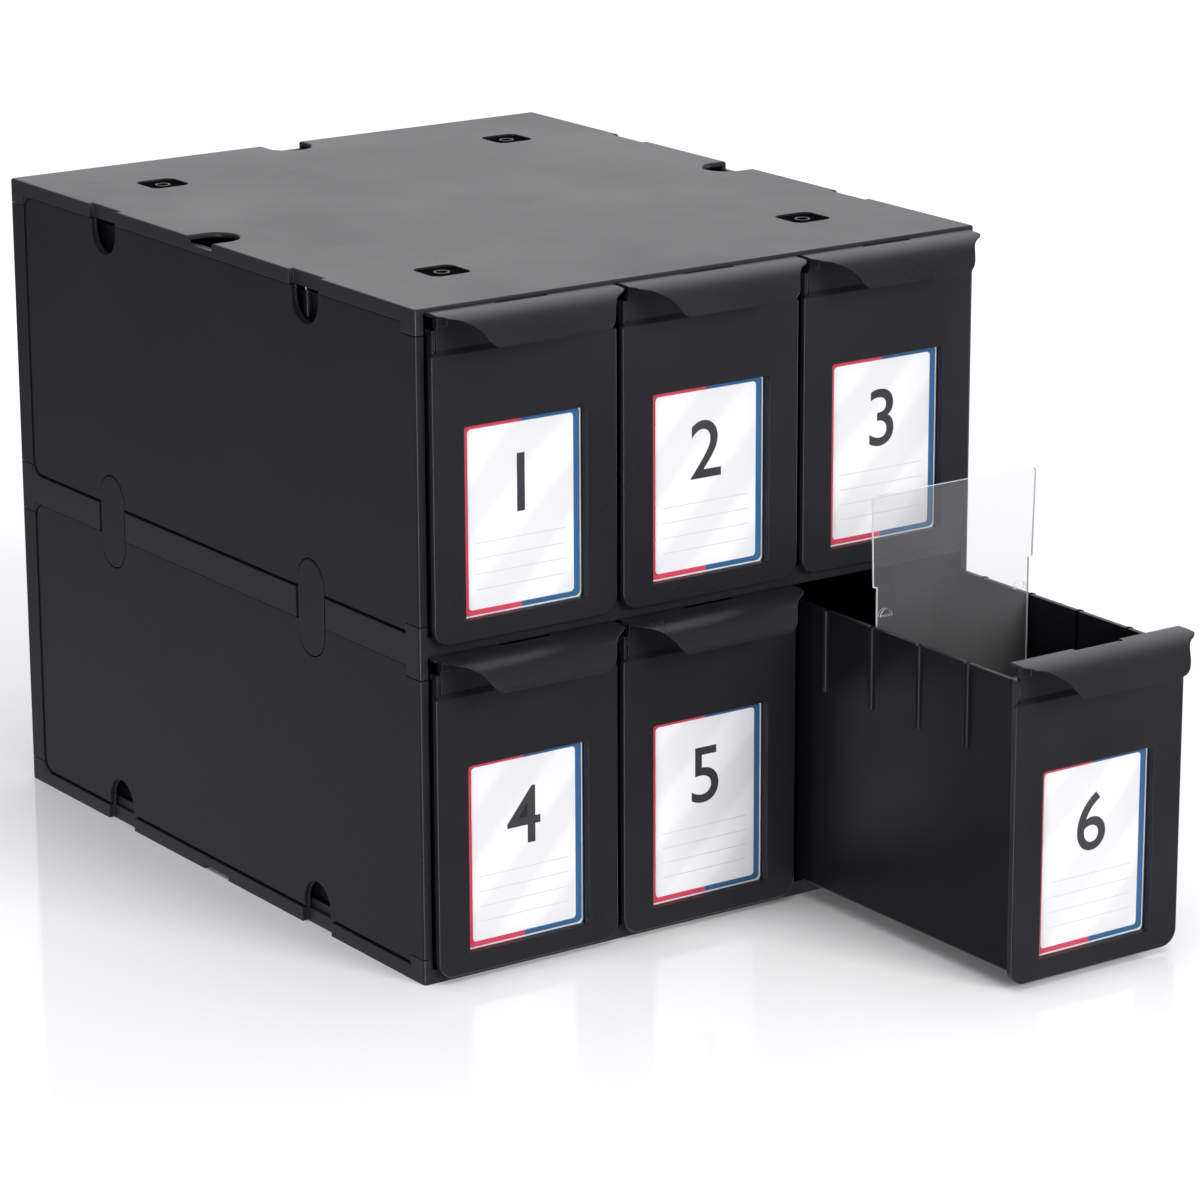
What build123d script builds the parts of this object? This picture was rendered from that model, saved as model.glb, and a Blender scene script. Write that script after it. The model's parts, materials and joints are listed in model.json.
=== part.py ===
from build123d import *
import os

os.makedirs("parts", exist_ok=True)

# A free-standing cabinet of six card drawers, two storeys of three.
# Millimetres, +Z up, +Y to the back. The origin is the centre of the flat
# underside of the cabinet, so the front plane of the cabinet is y = -D/2.

# ---------------------------------------------------------------- cabinet
W, D, H = 306.6, 363.4, 306.5      # outer width, depth and height
RIM = 6.7                          # height of the rim of the top and the bottom panel
BAND = 14.1                        # height of the rim of the middle shelf
SIDE = 139.5                       # visible height of one side panel
STOREY = SIDE + BAND               # from one storey to the next
PITCH = 100.0                      # from one drawer to the next
WEB = 2.2                          # flat skin of the top and the bottom panel
RIM_T = 2.2                        # rim thickness
COLLAR = 11.5                      # collar round each cabinet corner, plan length
COLLAR_Z = 4.8                     # how far a collar reaches past its rim
POST_T = 3.4                       # corner post thickness across X
FRONT_T = 4.2                      # the two front posts are a little thicker
SHELF_Z = RIM + SIDE               # lower edge of the middle rim
SHELF_WEB = (SHELF_Z + 5.8, SHELF_Z + 8.0)
TOP_Z = H - RIM                    # lower edge of the top rim
CORNER_R = 1.4                     # rounded upright corners of the cabinet
GROOVE, GROOVE_R = 1.4, 6.5        # shadow groove round a side panel's field

# connector clips: a pill over each interface of the side panels
CLIP_W, CLIP_H, CLIP_T = 21.6, 44.9, 2.3
CLIP_Y = 90.8                      # clips stand this far before and behind the middle
POCKET_W, POCKET_H, POCKET_D = 22.8, 46.1, 2.7
NOTCH_W = 25.2                     # notch of the rims behind a clip
CLIP_MID = SHELF_Z + BAND / 2

# ---------------------------------------------------------------- drawers
TRAY_HW = 46.8                     # half of the outer width of a tray
TRAY_T = 1.9                       # tray wall
TRAY_Z0, TRAY_Z1 = 8.5, 143.5      # underside and rim of a tray over its storey
TRAY_LEN = 350.0
PLATE_HW = 48.4                    # half of the width of a drawer front
UPPER_HW = 44.6                    # the front behind the handle is narrower
PLATE_Z0, PLATE_Z1 = 2.8, 151.6
PLATE_Y = -5.0                     # face of the drawer front before the cabinet
PLATE_T = 2.8
SHOULDER_Z = 132.8                 # the front steps back above this height
SET_BACK = 2.0
WIN_W, WIN_Z0, WIN_Z1 = 64.4, 12.6, 99.6   # label window
HANDLE_REACH, HANDLE_DROP, HANDLE_T = 23.0, 13.2, 1.6
SLOT_Y0, SLOT_PITCH, SLOTS = 35.7, 34.0, 9  # divider slots behind the drawer face
SLOT_W = 2.0
SLOT_FLOOR = 107.2
DIV_T = 1.2
PULL = 153.2                       # the lower right drawer stands open
LIFT = 54.4                        # and its divider is raised
CARD_W, CARD_H = 63.5, 88.9        # label card
PEG_Z = (22.0, 122.0)              # pegs that join a front to its tray
HANDLE_Y = -4.5                    # root of the handle curve

FRONT = -D / 2


# ---------------------------------------------------------------- panels
# Outline of a rim: left, right and back walls with a front beam on its own.
def rim_walls(z0, z1):
    with BuildSketch(Plane.XY.offset(z0)) as sk:
        Rectangle(W, D)
        with Locations((0, -RIM_T / 2)):
            Rectangle(W - 2 * RIM_T, D - RIM_T, mode=Mode.SUBTRACT)
    extrude(sk.sketch, amount=z1 - z0)


def front_beam(z0, z1):
    with BuildSketch(Plane.XY.offset(z0)) as sk:
        with Locations((0, FRONT + RIM_T / 2)):
            Rectangle(W, RIM_T)
    extrude(sk.sketch, amount=z1 - z0)


def collars(z0, z1):
    with BuildSketch(Plane.XY.offset(z0)) as sk:
        with GridLocations(W - POST_T, D - COLLAR, 2, 2):
            Rectangle(POST_T, COLLAR)
        with GridLocations(W - FRONT_T, 1, 2, 1):
            with Locations((0, FRONT + COLLAR / 2)):
                Rectangle(FRONT_T, COLLAR)
    extrude(sk.sketch, amount=z1 - z0)


# A solid pad behind each rim notch carries the clip.
def notch_pads(z0, z1):
    with BuildSketch(Plane.XY.offset(z0)) as sk:
        with GridLocations(W - POST_T - 0.8, 2 * CLIP_Y, 2, 2):
            Rectangle(POST_T + 0.8, NOTCH_W + 5)
    extrude(sk.sketch, amount=z1 - z0)


def notches(z0, z1):
    with BuildSketch(Plane.XY.offset(z0)) as sk:
        with GridLocations(W - POCKET_D, 2 * CLIP_Y, 2, 2):
            Rectangle(POCKET_D + 0.001, NOTCH_W)
    extrude(sk.sketch, amount=z1 - z0, mode=Mode.SUBTRACT)


# Finger slots: U-shaped openings in the middle of the side and the back edges.
def finger_slots(z0, z1, rim_z0, rim_z1):
    with BuildSketch(Plane.XY.offset(z0)) as sk:
        for side in (-1, 1):
            with Locations((side * (W / 2 - 4.25), 0)):
                Rectangle(8.5, 22.4)
            with Locations((side * (W / 2 - 8.5), 0)):
                Circle(11.2)
        with Locations((0, D / 2 - 4.25)):
            Rectangle(22.4, 8.5)
        with Locations((0, D / 2 - 8.5)):
            Circle(11.2)
    extrude(sk.sketch, amount=z1 - z0, mode=Mode.SUBTRACT)
    with BuildSketch(Plane.XY.offset(rim_z0)) as sk:
        with Locations((-W / 2 + RIM_T / 2, 0), (W / 2 - RIM_T / 2, 0)):
            Rectangle(RIM_T + 0.4, 22.4)
        with Locations((0, D / 2 - RIM_T / 2)):
            Rectangle(22.4, RIM_T + 0.4)
    extrude(sk.sketch, amount=rim_z1 - rim_z0, mode=Mode.SUBTRACT)


# Shallow square sockets with a ring boss round a blind hole.
SOCKET, SOCKET_DEPTH = 20.6, 1.3
SOCKETS = ((-100, -121.0), (100, -121.0), (-100, 126.0), (100, 126.0))


def sockets(face_z, into):
    with BuildSketch(Plane.XY.offset(face_z)) as sk:
        with Locations(*SOCKETS):
            RectangleRounded(SOCKET, SOCKET, 4.5)
    extrude(sk.sketch, amount=into * SOCKET_DEPTH, mode=Mode.SUBTRACT)
    with BuildSketch(Plane.XY.offset(face_z + into * SOCKET_DEPTH)) as sk:
        with Locations(*SOCKETS):
            Circle(3.7)
    extrude(sk.sketch, amount=-into * 0.8)
    with BuildSketch(Plane.XY.offset(face_z + into * 0.5)) as sk:
        with Locations(*SOCKETS):
            Circle(2.8)
    extrude(sk.sketch, amount=into * 1.1, mode=Mode.SUBTRACT)


# Rails: each tray runs on two strips and between two low guide walls.
def rails(web_z, base_z):
    with BuildSketch(Plane.XY.offset(web_z)) as sk:
        for c in (-PITCH, 0, PITCH):
            with Locations((c - 36, 2), (c + 36, 2)):
                Rectangle(3.0, D - 14)
    extrude(sk.sketch, amount=base_z + TRAY_Z0 - 0.2 - web_z)
    with BuildSketch(Plane.XY.offset(web_z)) as sk:
        for c in (-PITCH, 0, PITCH):
            with Locations((c - TRAY_HW - 1.4, 2), (c + TRAY_HW + 1.4, 2)):
                Rectangle(1.6, D - 14)
    extrude(sk.sketch, amount=base_z + 11.0 - web_z)


with BuildPart() as bottom_panel:
    with BuildSketch(Plane.XY):
        Rectangle(W, D)
    extrude(amount=WEB)
    rim_walls(0, RIM)
    front_beam(0, RIM)
    collars(0, RIM + COLLAR_Z)
    notch_pads(0, RIM)
    fillet(bottom_panel.edges().filter_by(Axis.Z).filter_by(
        lambda e: abs(abs(e.center().X) - W / 2) < 0.01 and abs(abs(e.center().Y) - D / 2) < 0.01), CORNER_R)
    rails(WEB, 0)
    notches(0, RIM + 1)
    finger_slots(-1, WEB, -1, 1.2)
    sockets(0, 1)
bottom_panel.part.label = "bottom_panel"

with BuildPart() as middle_shelf:
    rim_walls(SHELF_Z, SHELF_Z + BAND)
    front_beam(SHELF_WEB[0] - 0.8, SHELF_Z + BAND)
    with BuildSketch(Plane.XY.offset(SHELF_WEB[0])):
        Rectangle(W - 1, D - 1)
    extrude(amount=SHELF_WEB[1] - SHELF_WEB[0])
    collars(SHELF_Z - COLLAR_Z, SHELF_Z + BAND + COLLAR_Z)
    notch_pads(SHELF_Z, SHELF_Z + BAND)
    fillet(middle_shelf.edges().filter_by(Axis.Z).filter_by(
        lambda e: abs(abs(e.center().X) - W / 2) < 0.01 and abs(abs(e.center().Y) - D / 2) < 0.01), CORNER_R)
    rails(SHELF_WEB[1], STOREY)
    notches(SHELF_Z - 1, SHELF_Z + BAND + 1)
    # holes for the clip pegs
    for x in (-W / 2, W / 2):
        with BuildSketch(Plane.YZ.offset(x)):
            with Locations((-CLIP_Y, CLIP_MID), (CLIP_Y, CLIP_MID)):
                Circle(2.55)
        extrude(amount=8, both=True, mode=Mode.SUBTRACT)
middle_shelf.part.label = "middle_shelf"

with BuildPart() as top_panel:
    with BuildSketch(Plane.XY.offset(H - WEB)):
        Rectangle(W, D)
    extrude(amount=WEB)
    rim_walls(TOP_Z, H)
    collars(TOP_Z - COLLAR_Z, H)
    notch_pads(TOP_Z, H)
    fillet(top_panel.edges().filter_by(Axis.Z).filter_by(
        lambda e: abs(abs(e.center().X) - W / 2) < 0.01 and abs(abs(e.center().Y) - D / 2) < 0.01), CORNER_R)
    notches(TOP_Z - 1, H + 1)
    finger_slots(H - WEB, H + 1, H - 3.6, H + 1)
    sockets(H, -1)
    fillet(top_panel.faces().sort_by(Axis.Z)[-1].outer_wire().edges(), 1.2)
top_panel.part.label = "top_panel"


# A side panel: a field between two corner posts, tongues inside the rims, and a
# pocket with a round end for half a clip at every corner of the interface.
def side_panel(side, z0, name):
    x_out = side * W / 2
    yz = Plane.YZ
    post_z = COLLAR_Z + 0.45
    with BuildPart() as panel:
        with BuildSketch(yz.offset(side * (W / 2 - 2.6))):
            with Locations((0, z0 + SIDE / 2)):
                Rectangle(D - 2 * COLLAR - 0.3, SIDE - 0.2)
        extrude(amount=side * 2.1)
        with BuildSketch(yz.offset(side * (W / 2 - FRONT_T))):
            with Locations((-D / 2 + 6.0, z0 + SIDE / 2)):
                Rectangle(12.0, SIDE - 2 * post_z)
        extrude(amount=side * FRONT_T)
        with BuildSketch(yz.offset(side * (W / 2 - POST_T))):
            with Locations((D / 2 - 6.2, z0 + SIDE / 2)):
                Rectangle(12.4, SIDE - 2 * post_z)
        extrude(amount=side * POST_T)
        # the rear border meets the rims in round inner corners
        g = GROOVE_R + GROOVE
        rear = D / 2 - 12.4
        with BuildSketch(yz.offset(side * (W / 2 - 2.6))):
            with Locations((rear - g / 2, z0 + 0.1 + g / 2), (rear - g / 2, z0 + SIDE - 0.1 - g / 2)):
                Rectangle(g, g)
            with Locations((rear - g, z0 + 0.1 + g), (rear - g, z0 + SIDE - 0.1 - g)):
                Circle(g, mode=Mode.SUBTRACT)
        extrude(amount=side * 2.6)
        # shadow groove along the rear and the lower edge of the field
        with BuildSketch(yz.offset(side * (W / 2 - 2.0))):
            with Locations((rear - 200, z0 + SIDE / 2)):
                RectangleRounded(400, SIDE - 0.2, g)
            with Locations((rear - GROOVE - 200, z0 + (SIDE + GROOVE - 0.4) / 2)):
                RectangleRounded(400, SIDE - GROOVE - 0.4, GROOVE_R, mode=Mode.SUBTRACT)
            with Locations((-0.2, z0 + SIDE / 2)):
                Rectangle(D - 24.4, SIDE, mode=Mode.INTERSECT)
        extrude(amount=side * 1.7, mode=Mode.SUBTRACT)
        # tongues behind the rims
        with BuildSketch(yz.offset(side * (W / 2 - POST_T))):
            with Locations((0, z0 + 0.75 + 0.0), (0, z0 + SIDE - 0.75)):
                Rectangle(D - 2 * COLLAR - 8, 8.0)
            for y in (-CLIP_Y, CLIP_Y):
                with Locations((y, z0 - 0.5), (y, z0 + SIDE + 0.5)):
                    Rectangle(NOTCH_W + 6.4, 8.0, mode=Mode.SUBTRACT)
        extrude(amount=side * 1.0)
        # thicker pads under the clip pockets
        with BuildSketch(yz.offset(side * (W / 2 - 3.7))):
            for y in (-CLIP_Y, CLIP_Y):
                with Locations((y, z0 + 8.5), (y, z0 + SIDE - 8.5)):
                    Rectangle(NOTCH_W + 2, 16.8)
        extrude(amount=side * 1.5)
        fillet(panel.edges().filter_by(Axis.Z).filter_by(
            lambda e: abs(abs(e.center().X) - W / 2) < 0.01 and abs(abs(e.center().Y) - D / 2) < 0.01), CORNER_R)
        # clip pockets
        with BuildSketch(yz.offset(x_out)):
            for zc in (z0 + SIDE + BAND / 2, z0 - BAND / 2):
                with Locations((-CLIP_Y, zc), (CLIP_Y, zc)):
                    SlotOverall(POCKET_H, POCKET_W, rotation=90)
        extrude(amount=-side * POCKET_D, mode=Mode.SUBTRACT)
        # a pocket with no clip in it is open inside its ledge
        zc = z0 + SIDE + BAND / 2 if z0 > RIM else z0 - BAND / 2
        with BuildSketch(yz.offset(x_out)):
            with Locations((-CLIP_Y, zc), (CLIP_Y, zc)):
                SlotOverall(POCKET_H - 1.0, POCKET_W - 1.0, rotation=90)
        extrude(amount=-side * 6.0, mode=Mode.SUBTRACT)
    panel.part.label = name
    return panel.part


upper_left_side = side_panel(-1, SHELF_Z + BAND, "upper_left_side")
lower_left_side = side_panel(-1, RIM, "lower_left_side")
upper_right_side = side_panel(1, SHELF_Z + BAND, "upper_right_side")
lower_right_side = side_panel(1, RIM, "lower_right_side")


# A back panel with a pressed-in field, held by tongues before the rims.
def back_panel(z0, name):
    hw = W / 2 - POST_T - 0.2
    with BuildPart() as panel:
        with BuildSketch(Plane.XZ.offset(-(D / 2 - 2.7))):
            with Locations((0, z0 + SIDE / 2)):
                Rectangle(2 * hw, SIDE - 0.2)
        extrude(amount=-2.5)
        with BuildSketch(Plane.XZ.offset(-(D / 2 - 0.2))):
            with Locations((0, z0 + SIDE / 2)):
                RectangleRounded(2 * hw - 24, SIDE - 24, 6)
        extrude(amount=0.8, mode=Mode.SUBTRACT)
        with BuildSketch(Plane.XZ.offset(-(D / 2 - 3.4))):
            with Locations((0, z0 + 0.75), (0, z0 + SIDE - 0.75)):
                Rectangle(2 * hw - 14, 8.0)
        extrude(amount=-1.0)
    panel.part.label = name
    return panel.part


upper_back = back_panel(SHELF_Z + BAND, "upper_back")
lower_back = back_panel(RIM, "lower_back")


# A connector clip: a pill-shaped plate with a peg in the middle.
def connector_clip(side, y, name):
    with BuildPart() as clip:
        with BuildSketch(Plane.YZ.offset(side * (W / 2 - 0.2))):
            with Locations((y, CLIP_MID)):
                SlotOverall(CLIP_H, CLIP_W, rotation=90)
        extrude(amount=-side * CLIP_T)
        fillet(clip.faces().filter_by(Plane.YZ).sort_by(Axis.X)[0 if side < 0 else -1].edges(), 0.5)
        with BuildSketch(Plane.YZ.offset(side * (W / 2 - 0.2 - CLIP_T))):
            with Locations((y, CLIP_MID)):
                Circle(2.5)
        extrude(amount=-side * 1.6)
    clip.part.label = name
    return clip.part


clips = [connector_clip(-1, -CLIP_Y, "left_front_clip"),
         connector_clip(-1, CLIP_Y, "left_rear_clip"),
         connector_clip(1, -CLIP_Y, "right_front_clip"),
         connector_clip(1, CLIP_Y, "right_rear_clip")]


# ---------------------------------------------------------------- drawer pieces
# One drawer is drawn closed, in the middle column of the lower storey, with
# y = 0 in the front plane of the cabinet; the six sets are placed further down.
slot_ys = [PLATE_Y + SLOT_Y0 + SLOT_PITCH * k for k in range(SLOTS)]

with BuildPart() as tray:
    with BuildSketch(Plane.XY.offset(TRAY_Z0)) as plan:
        with Locations((0, 0.2 + TRAY_LEN / 2)):
            Rectangle(2 * TRAY_HW, TRAY_LEN)
        fillet(plan.vertices().group_by(Axis.Y)[-1], 2.5)
    extrude(amount=TRAY_Z1 - TRAY_Z0)
    fillet(tray.faces().sort_by(Axis.Z)[0].edges(), 1.5)
    # a low bead round the rim
    with BuildSketch(Plane.XY.offset(TRAY_Z1 - 2.6)) as bead:
        with Locations((0, (1.2 + TRAY_LEN + 0.6) / 2)):
            Rectangle(2 * TRAY_HW + 0.8, TRAY_LEN + 0.6 - 1.2)
        fillet(bead.vertices().group_by(Axis.Y)[-1], 2.9)
    extrude(amount=2.6)
    # slot bulges on both long walls
    with BuildSketch(Plane.XY.offset(SLOT_FLOOR - 2.4)):
        for y in slot_ys:
            for s in (-1, 1):
                with BuildLine():
                    b = ThreePointArc((s * (TRAY_HW - 0.3), y - 2.3), (s * (TRAY_HW + 1.7), y), (s * (TRAY_HW - 0.3), y + 2.3))
                    Line(b @ 1, b @ 0)
                make_face()
    extrude(amount=TRAY_Z1 - SLOT_FLOOR + 2.4)
    # the space for the cards
    with BuildSketch(Plane.XY.offset(TRAY_Z0 + 2.0)):
        with Locations((0, 0.2 + TRAY_LEN / 2)):
            RectangleRounded(2 * (TRAY_HW - TRAY_T), TRAY_LEN - 4.0, 1.2)
    extrude(amount=TRAY_Z1, mode=Mode.SUBTRACT)
    # grooves for the dividers
    with BuildSketch(Plane.XY.offset(SLOT_FLOOR)):
        for y in slot_ys:
            with Locations((0, y)):
                Rectangle(2 * 47.75, SLOT_W)
    extrude(amount=TRAY_Z1, mode=Mode.SUBTRACT)
    # holes for the pegs of the front
    with BuildSketch(Plane.XZ.offset(-3.0)):
        for z in PEG_Z:
            with Locations((-38, z), (38, z)):
                Circle(2.05)
    extrude(amount=4.0, mode=Mode.SUBTRACT)

# The front: a flat plate, stepped back behind the handle, with a window, a
# flange round the window, a lip that meets the tray and four pegs.
with BuildPart() as front:
    # handle: a quarter-round lip that curls forward and down
    with BuildSketch(Plane.YZ.offset(-PLATE_HW)):
        with Locations((HANDLE_Y, PLATE_Z1 - HANDLE_DROP)):
            Ellipse(HANDLE_REACH, HANDLE_DROP)
            Ellipse(HANDLE_REACH - HANDLE_T, HANDLE_DROP - HANDLE_T, mode=Mode.SUBTRACT)
        with Locations((HANDLE_Y - 15, PLATE_Z1 - HANDLE_DROP / 2)):
            Rectangle(30, HANDLE_DROP, mode=Mode.INTERSECT)
    extrude(amount=2 * PLATE_HW)
    # its free edge sweeps in at both ends
    with BuildSketch(Plane.XZ):
        with BuildLine():
            z1 = PLATE_Z1
            right = Spline((48.4, z1 - 0.5), (45.8, z1 - 1.05), (41.9, z1 - 1.75), (38.75, z1 - 2.8),
                           (35.9, z1 - 4.75), (33.8, z1 - 7.25), (31.8, z1 - 10.4), (29.9, z1 - 12.3),
                           (27.0, z1 - 13.2), tangents=((-1, -0.12), (-1, 0)))
            Line(right @ 1, (-27.0, z1 - 13.2))
            left = Spline((-27.0, z1 - 13.2), (-29.9, z1 - 12.3), (-31.8, z1 - 10.4), (-33.8, z1 - 7.25),
                          (-35.9, z1 - 4.75), (-38.75, z1 - 2.8), (-41.9, z1 - 1.75), (-45.8, z1 - 1.05),
                          (-48.4, z1 - 0.5), tangents=((-1, 0), (-1, 0.12)))
            Polyline(left @ 1, (-48.4, z1 + 2), (48.4, z1 + 2), right @ 0)
        make_face()
    extrude(amount=60, both=True, mode=Mode.INTERSECT)
    # root of the handle
    with BuildSketch(Plane.XY.offset(PLATE_Z1 - HANDLE_T)):
        with Locations((0, (HANDLE_Y - 0.2) / 2)):
            Rectangle(2 * PLATE_HW, -HANDLE_Y - 0.2)
    extrude(amount=HANDLE_T)
    # window plate
    with BuildSketch(Plane.XZ.offset(-PLATE_Y - PLATE_T)) as outline:
        with BuildLine():
            p = Polyline((-PLATE_HW, SHOULDER_Z - 1.4), (-PLATE_HW, PLATE_Z0), (PLATE_HW, PLATE_Z0),
                         (PLATE_HW, SHOULDER_Z - 1.4))
            r = Spline((PLATE_HW, SHOULDER_Z - 1.4), (UPPER_HW, SHOULDER_Z + 2.0), tangents=((0, 1), (0, 1)))
            Line(r @ 1, (-UPPER_HW, SHOULDER_Z + 2.0))
            Spline((-UPPER_HW, SHOULDER_Z + 2.0), (-PLATE_HW, SHOULDER_Z - 1.4), tangents=((0, -1), (0, -1)))
        make_face()
        fillet(outline.vertices().group_by(Axis.Y)[0], 8.0)
    extrude(amount=PLATE_T)
    chamfer(front.faces().filter_by(Axis.Y).sort_by(Axis.Y)[0:1].edges().filter_by(
        lambda e: e.center().Z > SHOULDER_Z + 1.5), SET_BACK + 0.4, 2.6)
    # soft edge round the face, left, right and below
    fillet(front.faces().filter_by(Axis.Y).sort_by(Axis.Y)[0:1].edges().filter_by(
        lambda e: e.center().Z < SHOULDER_Z - 2), 0.8)
    # upper plate behind the handle
    with BuildSketch(Plane.XZ.offset(-PLATE_Y - SET_BACK - 2.6)):
        with Locations((0, (SHOULDER_Z - 4 + PLATE_Z1) / 2)):
            Rectangle(2 * UPPER_HW, PLATE_Z1 - SHOULDER_Z + 4)
    extrude(amount=2.6)
    # small square block at each end, under the root of the handle
    with BuildSketch(Plane.XZ.offset(-PLATE_Y - SET_BACK)):
        with Locations((-UPPER_HW + 2.6, PLATE_Z1 - 4.0), (UPPER_HW - 2.6, PLATE_Z1 - 4.0)):
            Rectangle(5.2, 5.6)
    extrude(amount=0.9)
    # lip round the back that meets the tray
    with BuildSketch(Plane.XZ.offset(0)) as lip:
        with Locations((0, (TRAY_Z0 + TRAY_Z1) / 2)):
            Rectangle(2 * TRAY_HW, TRAY_Z1 - TRAY_Z0)
        fillet(lip.vertices().group_by(Axis.Y)[0], 4)
        with Locations((0, (TRAY_Z0 + TRAY_Z1) / 2)):
            RectangleRounded(2 * TRAY_HW - 3.2, TRAY_Z1 - TRAY_Z0 - 3.2, 3, mode=Mode.SUBTRACT)
    extrude(amount=3.0)
    # flange round the window
    with BuildSketch(Plane.XZ.offset(-PLATE_Y - PLATE_T - 0.8)):
        with Locations((0, (WIN_Z0 + WIN_Z1) / 2)):
            Rectangle(WIN_W + 8, WIN_Z1 - WIN_Z0 + 7)
    extrude(amount=1.0)
    with BuildSketch(Plane.XZ.offset(-2)):
        with Locations((0, (WIN_Z0 + WIN_Z1) / 2)):
            RectangleRounded(WIN_W, WIN_Z1 - WIN_Z0, 0.9)
    extrude(amount=10, mode=Mode.SUBTRACT)
    # pegs
    with BuildSketch(Plane.XZ.offset(-2.0)):
        for z in PEG_Z:
            with Locations((-38, z), (38, z)):
                Circle(2.0)
    extrude(amount=5.0)
    # shallow notch in the rear top edge
    with BuildSketch(Plane.XY.offset(PLATE_Z1 - 1.0)):
        with Locations((0, -1.7)):
            Rectangle(27, 3.4)
    extrude(amount=4, mode=Mode.SUBTRACT)

# The clear window and the card behind it.
WIN_MID = (WIN_Z0 + WIN_Z1) / 2
with BuildPart() as window:
    with BuildSketch(Plane.XZ.offset(0.55)):
        with Locations((0, WIN_MID)):
            RectangleRounded(WIN_W + 2.4, WIN_Z1 - WIN_Z0 + 2.4, 1.5)
    extrude(amount=0.8)

with BuildPart() as label:
    with BuildSketch(Plane.XZ.offset(0.1)):
        with Locations((0, WIN_MID)):
            RectangleRounded(CARD_W, CARD_H, 3.0)
    extrude(amount=0.4)

# The divider, drawn seated in the second slot of the open drawer.
DIV_TOP = SLOT_FLOOR + 0.1 + 42.6
DIV_Z0 = 12.0
div_y = PLATE_Y + SLOT_Y0 + 2 * SLOT_PITCH
with BuildPart() as divider:
    with BuildSketch(Plane.XZ.offset(-div_y - DIV_T / 2)) as blade:
        with BuildLine():
            Polyline((-44.1, DIV_Z0), (44.1, DIV_Z0), (44.1, SLOT_FLOOR + 0.1), (46.2, SLOT_FLOOR + 0.1),
                     (47.4, DIV_TOP), (-47.4, DIV_TOP), (-46.2, SLOT_FLOOR + 0.1), (-44.1, SLOT_FLOOR + 0.1), close=True)
        make_face()
        fillet(blade.vertices().group_by(Axis.Y)[-1], 3.0)
        fillet(blade.vertices().group_by(Axis.Y)[0], 2.0)
    extrude(amount=DIV_T)
    # half-moon detents low on both faces of the wide part's stem
    with BuildSketch(Plane.XZ.offset(-div_y - 0.0)):
        for s in (-1, 1):
            with Locations((s * 39.2, SLOT_FLOOR - 14.0)):
                Circle(3.4)
                with Locations((0, -3.4)):
                    Rectangle(8, 6.8, mode=Mode.SUBTRACT)
    extrude(amount=0.95, both=True)

# ---------------------------------------------------------------- six drawers
columns = {"left": -PITCH, "middle": 0.0, "right": PITCH}
storeys = {"upper": STOREY, "lower": 0.0}

for storey, z in storeys.items():
    for column, x in columns.items():
        pull = PULL if (storey, column) == ("lower", "right") else 0.0
        lift = LIFT if pull else 0.0
        for piece, made, dz in (("tray", tray, 0), ("front", front, 0), ("window", window, 0),
                                ("label", label, 0), ("divider", divider, lift)):
            with BuildPart() as placed:
                with Locations((x, FRONT - pull, z + dz)):
                    add(made.part)
            placed.part.label = f"{storey}_{column}_{piece}"
            export_step(placed.part, f"parts/{placed.part.label}.step")

for piece in [bottom_panel.part, middle_shelf.part, top_panel.part, upper_left_side, lower_left_side,
              upper_right_side, lower_right_side, upper_back, lower_back] + clips:
    export_step(piece, f"parts/{piece.label}.step")
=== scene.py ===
import json
import math

import bmesh
import bpy
from mathutils import Matrix, Vector


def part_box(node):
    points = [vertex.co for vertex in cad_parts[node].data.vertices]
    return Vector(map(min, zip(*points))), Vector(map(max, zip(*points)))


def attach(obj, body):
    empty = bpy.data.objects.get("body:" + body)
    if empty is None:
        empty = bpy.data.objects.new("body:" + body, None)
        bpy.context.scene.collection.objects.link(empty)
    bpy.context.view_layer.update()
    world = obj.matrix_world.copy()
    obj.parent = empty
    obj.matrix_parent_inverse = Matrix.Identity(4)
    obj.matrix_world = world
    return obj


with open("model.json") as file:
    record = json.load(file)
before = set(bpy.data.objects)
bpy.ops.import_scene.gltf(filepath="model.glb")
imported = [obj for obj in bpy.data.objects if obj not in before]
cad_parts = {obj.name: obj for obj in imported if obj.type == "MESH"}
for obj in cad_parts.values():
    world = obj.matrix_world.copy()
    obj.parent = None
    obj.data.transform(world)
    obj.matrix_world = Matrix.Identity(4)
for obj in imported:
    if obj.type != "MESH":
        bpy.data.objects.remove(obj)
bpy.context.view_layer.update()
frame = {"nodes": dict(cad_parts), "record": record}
scene = bpy.context.scene
MM = 0.001
COLUMNS, STOREYS = ("left", "middle", "right"), ("upper", "lower")
DRAWERS = [f"{s}_{c}" for s in STOREYS for c in COLUMNS]

# ---------------------------------------------------------------- camera, floor, light
cam_data = bpy.data.cameras.new("camera")
cam = bpy.data.objects.new("camera", cam_data)
scene.collection.objects.link(cam)
cam_data.lens = 141.05
cam_data.sensor_width = 36.0
cam_data.clip_start, cam_data.clip_end = 0.05, 60.0
right = Vector((0.81985, -0.57256, -0.00379)).normalized()
back = Vector((-0.54912, -0.78812, 0.27808)).normalized()
up = back.cross(right).normalized()
right = up.cross(back).normalized()
cam.matrix_world = Matrix((
    (right.x, up.x, back.x, -1.20674),
    (right.y, up.y, back.y, -1.83068),
    (right.z, up.z, back.z, 0.74398),
    (0, 0, 0, 1)))
scene.camera = cam
scene.view_settings.view_transform = "Standard"


def new_material(name):
    m = bpy.data.materials.new(name)
    m.use_nodes = True
    nt = m.node_tree
    for n in list(nt.nodes):
        nt.nodes.remove(n)
    out = nt.nodes.new("ShaderNodeOutputMaterial")
    return m, nt, out


def node(nt, kind, **sockets):
    n = nt.nodes.new(kind)
    for k, v in sockets.items():
        n.inputs[k.replace("_", " ")].default_value = v
    return n


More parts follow.
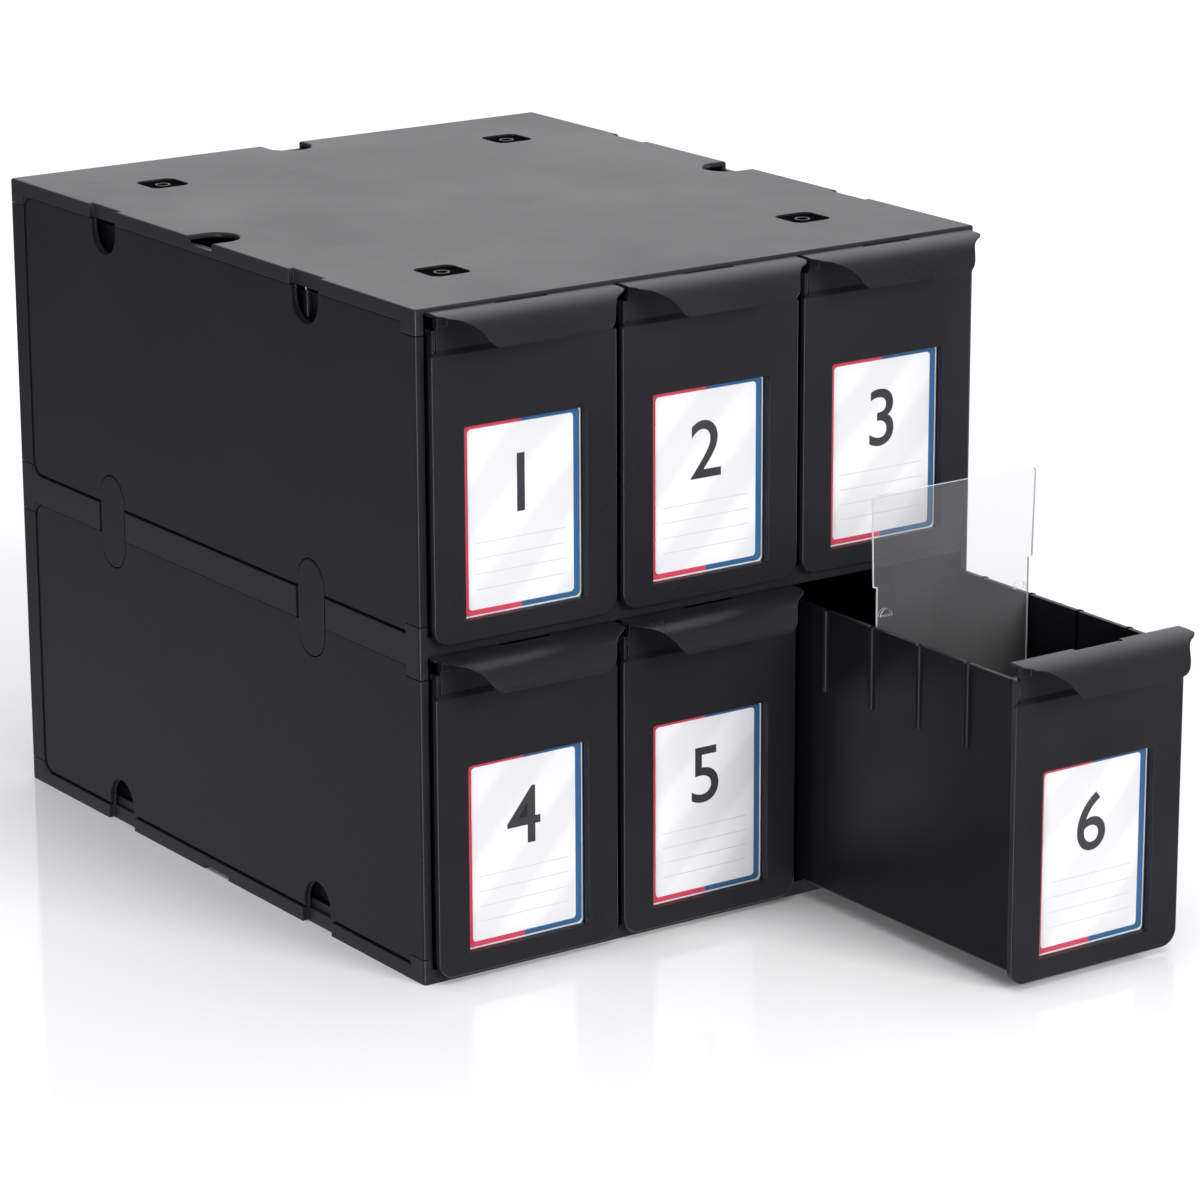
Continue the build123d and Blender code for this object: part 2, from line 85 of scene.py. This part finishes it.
def maths(nt, op, a, b=None, c=None, clamp=False):
    n = nt.nodes.new("ShaderNodeMath")
    n.operation = op
    n.use_clamp = clamp
    for i, v in enumerate((a, b, c)):
        if v is None:
            continue
        if isinstance(v, (int, float)):
            n.inputs[i].default_value = v
        else:
            nt.links.new(v, n.inputs[i])
    return n.outputs[0]


# Floor: pale and slightly glossy, with faint mirror images.
def floor_material():
    m, nt, out = new_material("floor")
    p = node(nt, "ShaderNodeBsdfPrincipled", Base_Color=(0.94, 0.94, 0.943, 1), Roughness=0.07, IOR=1.28)
    # the floor brightens away from the object, as under a wide studio light
    tc = nt.nodes.new("ShaderNodeTexCoord")
    far = nt.nodes.new("ShaderNodeVectorMath")
    far.operation = "LENGTH"
    nt.links.new(tc.outputs["Object"], far.inputs[0])
    glow = nt.nodes.new("ShaderNodeMapRange")
    glow.interpolation_type = "SMOOTHSTEP"
    glow.inputs["From Min"].default_value, glow.inputs["From Max"].default_value = 0.35, 1.1
    glow.inputs["To Min"].default_value, glow.inputs["To Max"].default_value = 0.05, 0.30
    nt.links.new(far.outputs["Value"], glow.inputs["Value"])
    e = node(nt, "ShaderNodeEmission", Color=(1, 1, 1, 1))
    nt.links.new(glow.outputs["Result"], e.inputs["Strength"])
    both = nt.nodes.new("ShaderNodeAddShader")
    nt.links.new(p.outputs[0], both.inputs[0])
    nt.links.new(e.outputs[0], both.inputs[1])
    nt.links.new(both.outputs[0], out.inputs[0])
    return m


bpy.ops.mesh.primitive_plane_add(size=40, location=(0, 0, 0))
floor = bpy.context.object
floor.name = "floor"
floor.data.materials.append(floor_material())
floor.visible_glossy = False
floor.visible_diffuse = False
floor.visible_shadow = False


def area(name, size, location, target, power, size_y=None, color=(1, 1, 1)):
    d = bpy.data.lights.new(name, "AREA")
    d.shape = "RECTANGLE"
    d.size, d.size_y = size, size_y or size
    d.energy = power
    d.color = color
    o = bpy.data.objects.new(name, d)
    scene.collection.objects.link(o)
    o.location = location
    o.rotation_euler = (Vector(target) - Vector(location)).to_track_quat("-Z", "Y").to_euler()
    return o


overhead = area("overhead", 3.6, (-0.3, -0.2, 3.2), (0, 0, 0), 92, 3.6)
overhead.visible_glossy = False
front = area("front_soft", 1.3, (0.75, -3.3, 1.3), (0.0, -0.2, 0.15), 92, 1.5)
front.visible_glossy = False
# strips that draw the light lines along the upright edges
area("left_strip", 0.6, (-1.95, -1.75, -0.25), (0, -0.18, 0.15), 30, 2.0)
area("right_strip", 0.6, (2.5, -0.95, -0.2), (0, -0.18, 0.15), 14, 2.0)
# a low glow behind the left side, so that its lower part is the lighter
area("low_glow", 2.0, (-1.15, 1.55, -0.66), (-0.15, 0, 0.1), 0.9, 0.7)

world = bpy.data.worlds.new("world")
scene.world = world
world.use_nodes = True
wn = world.node_tree
for n in list(wn.nodes):
    wn.nodes.remove(n)
w_out = wn.nodes.new("ShaderNodeOutputWorld")
w_bg = wn.nodes.new("ShaderNodeBackground")
w_tc = wn.nodes.new("ShaderNodeTexCoord")
w_dot = wn.nodes.new("ShaderNodeVectorMath")
w_dot.operation = "DOT_PRODUCT"
w_dot.inputs[1].default_value = (0.55, 0.80, 0.24)
w_ramp = wn.nodes.new("ShaderNodeValToRGB")
w_ramp.color_ramp.interpolation = "EASE"
w_ramp.color_ramp.elements[0].position = 0.88
w_ramp.color_ramp.elements[0].color = (0.16, 0.16, 0.18, 1)
w_ramp.color_ramp.elements[1].position = 0.975
w_ramp.color_ramp.elements[1].color = (1.0, 1.0, 1.02, 1)
w_map = wn.nodes.new("ShaderNodeMapRange")
w_map.inputs["From Min"].default_value = -1
w_map.inputs["From Max"].default_value = 1
wn.links.new(w_tc.outputs["Generated"], w_dot.inputs[0])
wn.links.new(w_dot.outputs["Value"], w_map.inputs["Value"])
wn.links.new(w_map.outputs["Result"], w_ramp.inputs["Fac"])
# straight down the surroundings are as bright as the pale floor
w_sep = wn.nodes.new("ShaderNodeSeparateXYZ")
w_down = wn.nodes.new("ShaderNodeMapRange")
w_down.inputs["From Min"].default_value = -0.55
w_down.inputs["From Max"].default_value = -0.85
w_mix = wn.nodes.new("ShaderNodeMix")
w_mix.data_type = "RGBA"
w_mix.inputs["B"].default_value = (0.85, 0.85, 0.86, 1)
wn.links.new(w_tc.outputs["Generated"], w_sep.inputs[0])
wn.links.new(w_sep.outputs["Z"], w_down.inputs["Value"])
wn.links.new(w_down.outputs["Result"], w_mix.inputs["Factor"])
wn.links.new(w_ramp.outputs["Color"], w_mix.inputs["A"])
wn.links.new(w_mix.outputs["Result"], w_bg.inputs["Color"])
wn.links.new(w_bg.outputs[0], w_out.inputs[0])


# ---------------------------------------------------------------- materials
# Moulded black plastic: a fine spark-eroded grain, slow waviness, patches of
# slightly different gloss, and softened edges. `sockets` gives the floors of
# the shallow sockets in the top face, by their place on the object, a painted
# shade: a matte near-black, darker than the plastic, where the recesses look dark.
def moulded(name, base, rough, grain=0.02, grain_scale=1500, wave=0.05, var=0.16, spec=0.5, edge=0.0005,
            sockets=None):
    m, nt, out = new_material(name)
    p = node(nt, "ShaderNodeBsdfPrincipled", Roughness=rough)
    p.inputs["Specular IOR Level"].default_value = spec
    tc = nt.nodes.new("ShaderNodeTexCoord")
    slow = node(nt, "ShaderNodeTexNoise", Scale=14.0, Detail=3.0, Roughness=0.55)
    fine = node(nt, "ShaderNodeTexNoise", Scale=float(grain_scale), Detail=2.0, Roughness=0.6)
    speck = node(nt, "ShaderNodeTexNoise", Scale=420.0, Detail=4.0, Roughness=0.7)
    for n in (slow, fine, speck):
        nt.links.new(tc.outputs["Object"], n.inputs["Vector"])
    blend = maths(nt, "MULTIPLY_ADD", speck.outputs["Fac"], 0.35, maths(nt, "MULTIPLY", slow.outputs["Fac"], 0.65))
    ramp = nt.nodes.new("ShaderNodeValToRGB")
    ramp.color_ramp.elements[0].position = 0.3
    ramp.color_ramp.elements[0].color = (*(c * (1 - var) for c in base), 1)
    ramp.color_ramp.elements[1].position = 0.7
    ramp.color_ramp.elements[1].color = (*(c * (1 + var) for c in base), 1)
    nt.links.new(blend, ramp.inputs["Fac"])
    rr = nt.nodes.new("ShaderNodeMapRange")
    rr.inputs["From Min"].default_value, rr.inputs["From Max"].default_value = 0.3, 0.7
    rr.inputs["To Min"].default_value, rr.inputs["To Max"].default_value = rough - 0.04, rough + 0.05
    nt.links.new(blend, rr.inputs["Value"])
    colour, gloss = ramp.outputs["Color"], rr.outputs["Result"]
    surface = p
    if edge:
        bev = nt.nodes.new("ShaderNodeBevel")
        bev.samples = 6
        bev.inputs["Radius"].default_value = edge
    b1 = node(nt, "ShaderNodeBump", Strength=wave, Distance=0.004)
    b2 = node(nt, "ShaderNodeBump", Strength=grain, Distance=0.0003)
    if edge:
        nt.links.new(bev.outputs["Normal"], b1.inputs["Normal"])
    nt.links.new(slow.outputs["Fac"], b1.inputs["Height"])
    nt.links.new(fine.outputs["Fac"], b2.inputs["Height"])
    nt.links.new(b1.outputs["Normal"], b2.inputs["Normal"])
    nt.links.new(b2.outputs["Normal"], p.inputs["Normal"])
    nt.links.new(colour, p.inputs["Base Color"])
    nt.links.new(gloss, p.inputs["Roughness"])
    if sockets:
        sep = nt.nodes.new("ShaderNodeSeparateXYZ")
        nt.links.new(tc.outputs["Object"], sep.inputs[0])
        z_low, z_high, x_in, y_in = sockets
        below = maths(nt, "LESS_THAN", sep.outputs["Z"], z_high)
        above = maths(nt, "GREATER_THAN", sep.outputs["Z"], z_low)
        in_x = maths(nt, "LESS_THAN", maths(nt, "ABSOLUTE", sep.outputs["X"]), x_in)
        in_y = maths(nt, "LESS_THAN", maths(nt, "ABSOLUTE", sep.outputs["Y"]), y_in)
        mask = maths(nt, "MULTIPLY", maths(nt, "MULTIPLY", below, above), maths(nt, "MULTIPLY", in_x, in_y))
        # painted shade: a matte near-black on the socket floors, far darker than the plastic
        socket_shade = node(nt, "ShaderNodeBsdfDiffuse", Color=(0.004, 0.004, 0.0045, 1), Roughness=0.6)
        nt.links.new(b2.outputs["Normal"], socket_shade.inputs["Normal"])
        mix = nt.nodes.new("ShaderNodeMixShader")
        nt.links.new(mask, mix.inputs[0])
        nt.links.new(p.outputs[0], mix.inputs[1])
        nt.links.new(socket_shade.outputs[0], mix.inputs[2])
        surface = mix
    nt.links.new(surface.outputs[0], out.inputs[0])
    return m


_, top_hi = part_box("top_panel")
# the top face carries the painted shade on its socket floors
top_mat = moulded("top_plastic", (0.022, 0.022, 0.024), 0.34, grain=0.10, wave=0.04,
                  sockets=(top_hi.z - 1.7 * MM, top_hi.z - 0.9 * MM, 0.125, 0.15))
panel_mat = moulded("panel_plastic", (0.019, 0.019, 0.021), 0.36, grain=0.10, spec=0.42)
side_mat = moulded("side_plastic", (0.015, 0.015, 0.018), 0.36, grain=0.12, spec=0.36)
clip_mat = moulded("clip_plastic", (0.015, 0.015, 0.018), 0.34, grain=0.08, spec=0.36)
tray_mat = moulded("tray_plastic", (0.0055, 0.0055, 0.008), 0.33, grain=0.05, spec=0.22, edge=0.0003)
front_mat = moulded("front_plastic", (0.017, 0.017, 0.019), 0.30, grain=0.05, spec=0.42, edge=0.0006)


# Clear sheet: mostly see-through, a little haze, and pale cut edges.
def clear_material(name, tint, rough, body, edge, shine, through=1.0):
    m, nt, out = new_material(name)
    p = node(nt, "ShaderNodeBsdfPrincipled", Base_Color=(*tint, 1), Roughness=rough, IOR=1.45)
    clear = node(nt, "ShaderNodeBsdfTransparent", Color=(through, through, through, 1))
    tc = nt.nodes.new("ShaderNodeTexCoord")
    haze = node(nt, "ShaderNodeTexNoise", Scale=30.0, Detail=2.0)
    nt.links.new(tc.outputs["Object"], haze.inputs["Vector"])
    lw = node(nt, "ShaderNodeLayerWeight", Blend=0.25)
    rng = nt.nodes.new("ShaderNodeMapRange")
    rng.inputs["To Min"].default_value, rng.inputs["To Max"].default_value = body, body + 0.02
    nt.links.new(haze.outputs["Fac"], rng.inputs["Value"])
    face = maths(nt, "MULTIPLY_ADD", lw.outputs["Fresnel"], shine, rng.outputs["Result"])
    geo = nt.nodes.new("ShaderNodeNewGeometry")
    sep = nt.nodes.new("ShaderNodeSeparateXYZ")
    nt.links.new(geo.outputs["True Normal"], sep.inputs[0])
    rim = maths(nt, "LESS_THAN", maths(nt, "ABSOLUTE", sep.outputs["Y"]), 0.6)
    dense = maths(nt, "MULTIPLY_ADD", rim, edge, face, clamp=True)
    mix = nt.nodes.new("ShaderNodeMixShader")
    nt.links.new(dense, mix.inputs[0])
    nt.links.new(clear.outputs[0], mix.inputs[1])
    nt.links.new(p.outputs[0], mix.inputs[2])
    nt.links.new(mix.outputs[0], out.inputs[0])
    return m


window_mat = clear_material("window_clear", (0.9, 0.92, 0.95), 0.06, 0.0, 0.5, 0.12)
divider_mat = clear_material("divider_clear", (0.90, 0.91, 0.93), 0.12, 0.03, 0.9, 0.25, 0.93)


# Printed card stock: a fibrous sheet under a thin ink.
def card_material(name, colour, rough=0.5, var=0.05, streaks=False):
    m, nt, out = new_material(name)
    p = node(nt, "ShaderNodeBsdfPrincipled", Roughness=rough)
    tc = nt.nodes.new("ShaderNodeTexCoord")
    fibre = node(nt, "ShaderNodeTexNoise", Scale=900.0, Detail=4.0)
    nt.links.new(tc.outputs["Object"], fibre.inputs["Vector"])
    shade = fibre.outputs["Fac"]
    if streaks:
        # soft diagonal streaks, lighter and darker, across the card
        turn = nt.nodes.new("ShaderNodeMapping")
        turn.inputs["Scale"].default_value = (1.0, 0.0, -1.0)
        wave = node(nt, "ShaderNodeTexWave", Scale=13.0, Distortion=1.2, Detail=1.0)
        wave.bands_direction = "DIAGONAL"
        nt.links.new(tc.outputs["Object"], turn.inputs["Vector"])
        nt.links.new(turn.outputs["Vector"], wave.inputs["Vector"])
        shade = maths(nt, "MULTIPLY_ADD", wave.outputs["Fac"], 0.75, maths(nt, "MULTIPLY", shade, 0.25))
    ramp = nt.nodes.new("ShaderNodeValToRGB")
    ramp.color_ramp.elements[0].position, ramp.color_ramp.elements[1].position = 0.35, 0.65
    ramp.color_ramp.elements[0].color = (*(c * (1 - var) for c in colour), 1)
    ramp.color_ramp.elements[1].color = (*(min(1, c * (1 + var)) for c in colour), 1)
    nt.links.new(shade, ramp.inputs["Fac"])
    nt.links.new(ramp.outputs["Color"], p.inputs["Base Color"])
    bump = node(nt, "ShaderNodeBump", Strength=0.05, Distance=0.0001)
    nt.links.new(fibre.outputs["Fac"], bump.inputs["Height"])
    nt.links.new(bump.outputs["Normal"], p.inputs["Normal"])
    nt.links.new(p.outputs[0], out.inputs[0])
    return m


card_mat = card_material("card_stock", (0.81, 0.81, 0.82), var=0.055, streaks=True)
crimson = card_material("ink_crimson", (0.66, 0.045, 0.095), 0.35)
blue = card_material("ink_blue", (0.012, 0.105, 0.26), 0.35)
pale = card_material("ink_pale_grey", (0.62, 0.63, 0.66), 0.4)
dark = card_material("ink_dark", (0.02, 0.02, 0.024), 0.35)

MATS = {"top_black": top_mat, "panel_black": panel_mat, "side_black": side_mat, "clip_black": clip_mat,
        "tray_black": tray_mat, "front_black": front_mat, "clear": window_mat,
        "divider_clear": divider_mat, "card": card_mat}
slot_of = {s["node"]: s["material_slot"] for s in frame["record"]["subparts"]}

for name, obj in frame["nodes"].items():
    obj.data.materials.clear()
    obj.data.materials.append(MATS[slot_of[name]])


# ---------------------------------------------------------------- label print
# Thin printed areas on the face of each label card: a border line, crimson on the
# left and blue on the right, pale ruled lines and a plain numeral.
def rounded(x0, z0, x1, z1, r, corners=(True, True, True, True), n=8):
    pts = []
    spots = ((x1 - r, z1 - r, 0), (x0 + r, z1 - r, 90), (x0 + r, z0 + r, 180), (x1 - r, z0 + r, 270))
    sharp = ((x1, z1), (x0, z1), (x0, z0), (x1, z0))
    for (cx, cz, a0), s, on in zip(spots, sharp, corners):
        if not on:
            pts.append(s)
            continue
        for i in range(n + 1):
            a = math.radians(a0 + 90 * i / n)
            pts.append((cx + r * math.cos(a), cz + r * math.sin(a)))
    return pts


# One half of a thin border line, from the middle of the head to that of the foot.
def half_border(cx, cz, hw, hh, side, head, n=8):
    sign = 1 if hw > 0 else -1
    rings = []
    for w, h, radius in ((abs(hw), hh, 2.6 * MM), (abs(hw) - side, hh - head, 1.8 * MM)):
        ring = [(cx, cz + h)]
        for corner, start in ((1, 90), (-1, 0)):
            for i in range(n + 1):
                a = math.radians(start - 90 * i / n)
                ring.append((cx + sign * (w - radius + radius * math.cos(a)),
                             cz + corner * (h - radius) + radius * math.sin(a)))
        ring.append((cx, cz - h))
        rings.append(ring)
    return rings[0] + rings[1][::-1]


def inked(bm, pts, face_y, mat, thick=0.02 * MM):
    front = [bm.verts.new((x, face_y - thick, z)) for x, z in pts]
    rear = [bm.verts.new((x, face_y + 0.002 * MM, z)) for x, z in pts]
    n = len(pts)
    faces = [bm.faces.new(front), bm.faces.new(rear[::-1])]
    for i in range(n):
        faces.append(bm.faces.new((front[i], rear[i], rear[(i + 1) % n], front[(i + 1) % n])))
    for f in faces:
        f.material_index = mat


for number, pre in enumerate(DRAWERS, 1):
    lo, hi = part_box(f"{pre}_label")
    cx, cz, face_y = (lo.x + hi.x) / 2, (lo.z + hi.z) / 2, lo.y
    hw, hh = 31.0 * MM, 43.1 * MM
    bm = bmesh.new()
    inked(bm, half_border(cx, cz, -hw, hh, 3.2 * MM, 2.4 * MM), face_y, 0)
    inked(bm, half_border(cx, cz, hw, hh, 3.2 * MM, 2.4 * MM), face_y, 1)
    for k in range(4):
        z = cz - 32.0 * MM + 7.0 * MM * k
        inked(bm, rounded(cx - 24 * MM, z, cx + 24 * MM, z + 0.4 * MM, 0.15 * MM), face_y, 2)
    me = bpy.data.meshes.new(f"{pre}_label_print")
    bmesh.ops.recalc_face_normals(bm, faces=bm.faces)
    bm.normal_update()
    bm.to_mesh(me)
    bm.free()
    for m in (crimson, blue, pale):
        me.materials.append(m)
    o = bpy.data.objects.new(f"{pre}_label_print", me)
    scene.collection.objects.link(o)
    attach(o, f"{pre}_drawer")

    cu = bpy.data.curves.new("numeral", "FONT")
    cu.body = str(number)
    cu.size = 38 * MM
    cu.align_x, cu.align_y = "CENTER", "CENTER"
    cu.extrude = 0.012 * MM
    cu.offset = 0.2 * MM
    cu.resolution_u = 8
    tmp = bpy.data.objects.new("numeral", cu)
    scene.collection.objects.link(tmp)
    bpy.context.view_layer.update()
    tm = bpy.data.meshes.new_from_object(tmp.evaluated_get(bpy.context.evaluated_depsgraph_get()))
    bpy.data.objects.remove(tmp)
    xs = [v.co.x for v in tm.vertices]
    ys = [v.co.y for v in tm.vertices]
    mx, my = (min(xs) + max(xs)) / 2, (min(ys) + max(ys)) / 2
    for v in tm.vertices:
        v.co = Vector((cx + v.co.x - mx, face_y - 0.012 * MM + v.co.z * -1, cz + 13.5 * MM + v.co.y - my))
    tm.materials.clear()
    tm.materials.append(dark)
    t = bpy.data.objects.new(f"{pre}_numeral", tm)
    scene.collection.objects.link(t)
    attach(t, f"{pre}_drawer")
